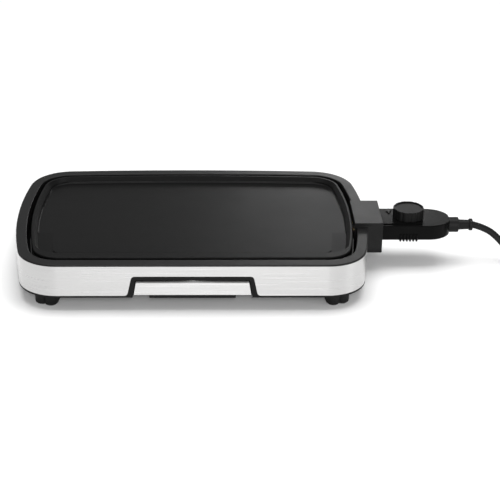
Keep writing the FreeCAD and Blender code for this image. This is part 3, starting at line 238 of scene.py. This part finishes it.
def plain_metal(name, colour, roughness, grain=600):
    """Plated or drawn metal with small scratches and a mottled sheen."""
    surface = Surface(name, colour, roughness, metallic=1.0)
    mottle = surface.noise(grain / 6, detail=4)
    dark = tuple(METAL_DARK * part for part in colour)
    surface.colour(surface.ramp(mottle, 0.3, 0.7), dark, colour)
    surface.roughness(surface.ramp(mottle, 0.2, 0.8, roughness - 0.06, roughness + 0.08))
    surface.bump([(surface.noise(grain, detail=3), 1.5e-5)])
    return surface.material


def soft_rubber(name, level, roughness=0.6, specular=0.3):
    """Rubber or soft PVC: dull, very finely pitted."""
    surface = Surface(name, grey(level), roughness, specular=specular)
    pits = surface.noise(3200, detail=2)
    dark = grey(level * (1 - RUBBER_TONE))
    light = grey(level * (1 + RUBBER_TONE))
    surface.colour(surface.ramp(pits, 0.3, 0.7), dark, light)
    cloud = surface.noise(60, detail=3)
    surface.roughness(surface.ramp(cloud, 0.25, 0.75, roughness - 0.06, roughness + 0.05))
    surface.bump([(pits, 1.5e-5), (surface.noise(300), 2.5e-5)])
    return surface.material


def ceramic():
    """White unglazed ceramic with a fine speckle."""
    surface = Surface("steatite", (0.8, 0.78, 0.72), 0.45)
    speckle = surface.noise(900, detail=3)
    surface.colour(surface.ramp(speckle, 0.3, 0.7), (0.72, 0.7, 0.64), (0.84, 0.82, 0.76))
    surface.bump([(speckle, 2e-5)])
    return surface.material


def lamp_glass():
    """Hazy orange-red glass of the pilot lamp."""
    surface = Surface("lamp_glass", (0.8, 0.3, 0.15), 0.15)
    haze = surface.noise(200, detail=2)
    surface.colour(surface.ramp(haze, 0.3, 0.7), (0.7, 0.22, 0.1), (0.9, 0.4, 0.2))
    surface.shader.inputs["Transmission Weight"].default_value = LAMP_TRANSMISSION
    return surface.material


def materials_by_slot():
    """One material for each slot that the record names."""
    return {
        "frame_black": moulded_plastic("frame_plastic", 0.007, 0.36, specular=0.14),
        "brushed_band": brushed_steel("band_steel", 0.53, 0.24),
        "cover_black": moulded_plastic("cover_plastic", 0.005, 0.5, grain=1600, specular=0.12),
        "foot_black": moulded_plastic("foot_plastic", 0.006, 0.5, grain=1600, specular=0.15),
        "foot_rubber": soft_rubber("foot_rubber", 0.02, 0.75),
        "plate_coating": coated_plate(),
        "element_steel": plain_metal("element_sheath", (0.25, 0.23, 0.21), 0.5),
        "sheet_steel": plain_metal("zinc_plated_steel", (0.62, 0.62, 0.6), 0.35),
        "shield_aluminium": plain_metal("mill_aluminium", (0.7, 0.7, 0.71), 0.4, grain=300),
        "ceramic_white": ceramic(),
        "contact_brass": plain_metal("contact_brass", (0.72, 0.58, 0.33), 0.3),
        "probe_steel": plain_metal("probe_steel", (0.6, 0.6, 0.59), 0.3),
        "tray_black": moulded_plastic("tray_plastic", 0.005, 0.5, grain=1600, specular=0.12),
        "handle_steel": brushed_steel("handle_steel", 0.57, 0.24),
        "controller_black": moulded_plastic("controller_plastic", 0.003, 0.2, depth=0.6e-5, specular=0.045),
        "knob_black": moulded_plastic("knob_plastic", 0.005, 0.42, grain=2600, depth=1.2e-5, specular=0.1),
        "inner_plastic": moulded_plastic("switch_plastic", 0.2, 0.5),
        "lens_grey": moulded_plastic("lens_plastic", 0.004, 0.2, grain=500, depth=0.8e-5, specular=0.1),
        "lamp_glass": lamp_glass(),
        "relief_rubber": soft_rubber("relief_rubber", 0.006, 0.4, specular=0.12),
        "cord_black": soft_rubber("cord_sheath", 0.006, 0.42, specular=0.15),
        "wire_insulation": soft_rubber("wire_insulation", 0.2, 0.5),
        "plug_black": moulded_plastic("plug_plastic", 0.007, 0.45, specular=0.15),
    }


def dress_nodes(materials):
    """Gives each CAD node the material of its slot in the record."""
    for part in RECORD["subparts"]:
        node = NODES[part["node"]]
        node.data.materials.clear()
        node.data.materials.append(materials[part["material_slot"]])


# ---- cord -----------------------------------------------------------------------------------
def coil_place(degrees):
    """Radius and height of the coil's lay at an angle, smoothly between its listed stations."""
    for (before, radius_0, z_0), (after, radius_1, z_1) in zip(COIL_LAY, COIL_LAY[1:]):
        if degrees <= after:
            share = (degrees - before) / (after - before)
            share = share * share * (3 - 2 * share)
            return radius_0 + (radius_1 - radius_0) * share, z_0 + (z_1 - z_0) * share
    return COIL_LAY[-1][1:]


def coil_points():
    """Control points round the coil, set out so that the spline itself has the lay's radius."""
    total = math.radians(COIL_LAY[-1][0])
    count = round(total / COIL_STEP)
    points = []
    for index in range(1, count + 1):
        turned = total * index / count
        radius, z = coil_place(math.degrees(turned))
        radius /= math.cos(total / count / 2)
        angle = COIL_START + turned
        x = COIL_CENTRE[0] + radius * math.cos(angle)
        y = COIL_CENTRE[1] + radius * math.sin(angle)
        points.append((x, y, z))
    return points


def cord(materials):
    """The whole mains cord: lead, coil and tail on one smooth spline."""
    points = CORD_LEAD + coil_points() + CORD_TAIL[1:]
    curve = bpy.data.curves.new("mains_cord", "CURVE")
    curve.dimensions = "3D"
    spline = curve.splines.new("NURBS")
    spline.points.add(len(points) - 1)
    for control, point in zip(spline.points, points):
        control.co = (*point, 1)
    spline.order_u = 3
    spline.use_endpoint_u = True
    spline.resolution_u = CORD_RESOLUTION
    curve.bevel_depth = CORD_DIAMETER / 2
    curve.bevel_resolution = CORD_RESOLUTION
    curve.use_fill_caps = True
    curve.materials.append(materials["cord_black"])
    piece = bpy.data.objects.new("mains_cord", curve)
    bpy.context.scene.collection.objects.link(piece)
    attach(piece, "controller")
    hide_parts("cord_lead", "cord_coil", "cord_tail")


# ---- floor, lights and camera ---------------------------------------------------------------
def floor():
    """A plain pale floor under the object."""
    mesh = bpy.data.meshes.new("floor")
    side = FLOOR_SIDE
    corners = [(-side, -side, 0), (side, -side, 0), (side, side, 0), (-side, side, 0)]
    mesh.from_pydata(corners, [], [(0, 1, 2, 3)])
    piece = bpy.data.objects.new("floor", mesh)
    bpy.context.scene.collection.objects.link(piece)
    surface = Surface("pale_floor", grey(FLOOR_GREY), FLOOR_ROUGHNESS, specular=FLOOR_SPECULAR)
    mesh.materials.append(surface.material)


def area_light(name, place, aim, size, power):
    """A rectangular soft light that faces a point."""
    light = bpy.data.lights.new(name, "AREA")
    light.shape = "RECTANGLE"
    light.size, light.size_y = size
    light.energy = power
    holder = bpy.data.objects.new(name, light)
    holder.location = place
    holder.rotation_mode = "QUATERNION"
    holder.rotation_quaternion = (Vector(aim) - Vector(place)).to_track_quat("-Z", "Y")
    bpy.context.scene.collection.objects.link(holder)


def lights():
    """An even white world and the area lights."""
    world = bpy.data.worlds.new("studio")
    world.use_nodes = True
    background = world.node_tree.nodes["Background"]
    background.inputs["Color"].default_value = (1, 1, 1, 1)
    background.inputs["Strength"].default_value = WORLD_STRENGTH
    bpy.context.scene.world = world
    for name, place, aim, size, power in LIGHTS:
        area_light(name, place, aim, size, power)


def camera():
    """A camera at the photograph's viewing angle, with plain colour output."""
    data = bpy.data.cameras.new("camera")
    data.lens = CAMERA_LENS
    data.shift_x = CAMERA_SHIFT
    holder = bpy.data.objects.new("camera", data)
    turn = Matrix.Rotation(-CAMERA_YAW, 4, "Z")
    turn = turn @ Matrix.Rotation(math.pi / 2 - CAMERA_PITCH, 4, "X")
    turn = turn @ Matrix.Rotation(CAMERA_ROLL, 4, "Z")
    holder.matrix_world = Matrix.Translation(CAMERA_PLACE) @ turn
    bpy.context.scene.collection.objects.link(holder)
    bpy.context.scene.camera = holder
    bpy.context.scene.view_settings.view_transform = "Standard"


camera()
materials = materials_by_slot()
dress_nodes(materials)
cord(materials)
floor()
lights()
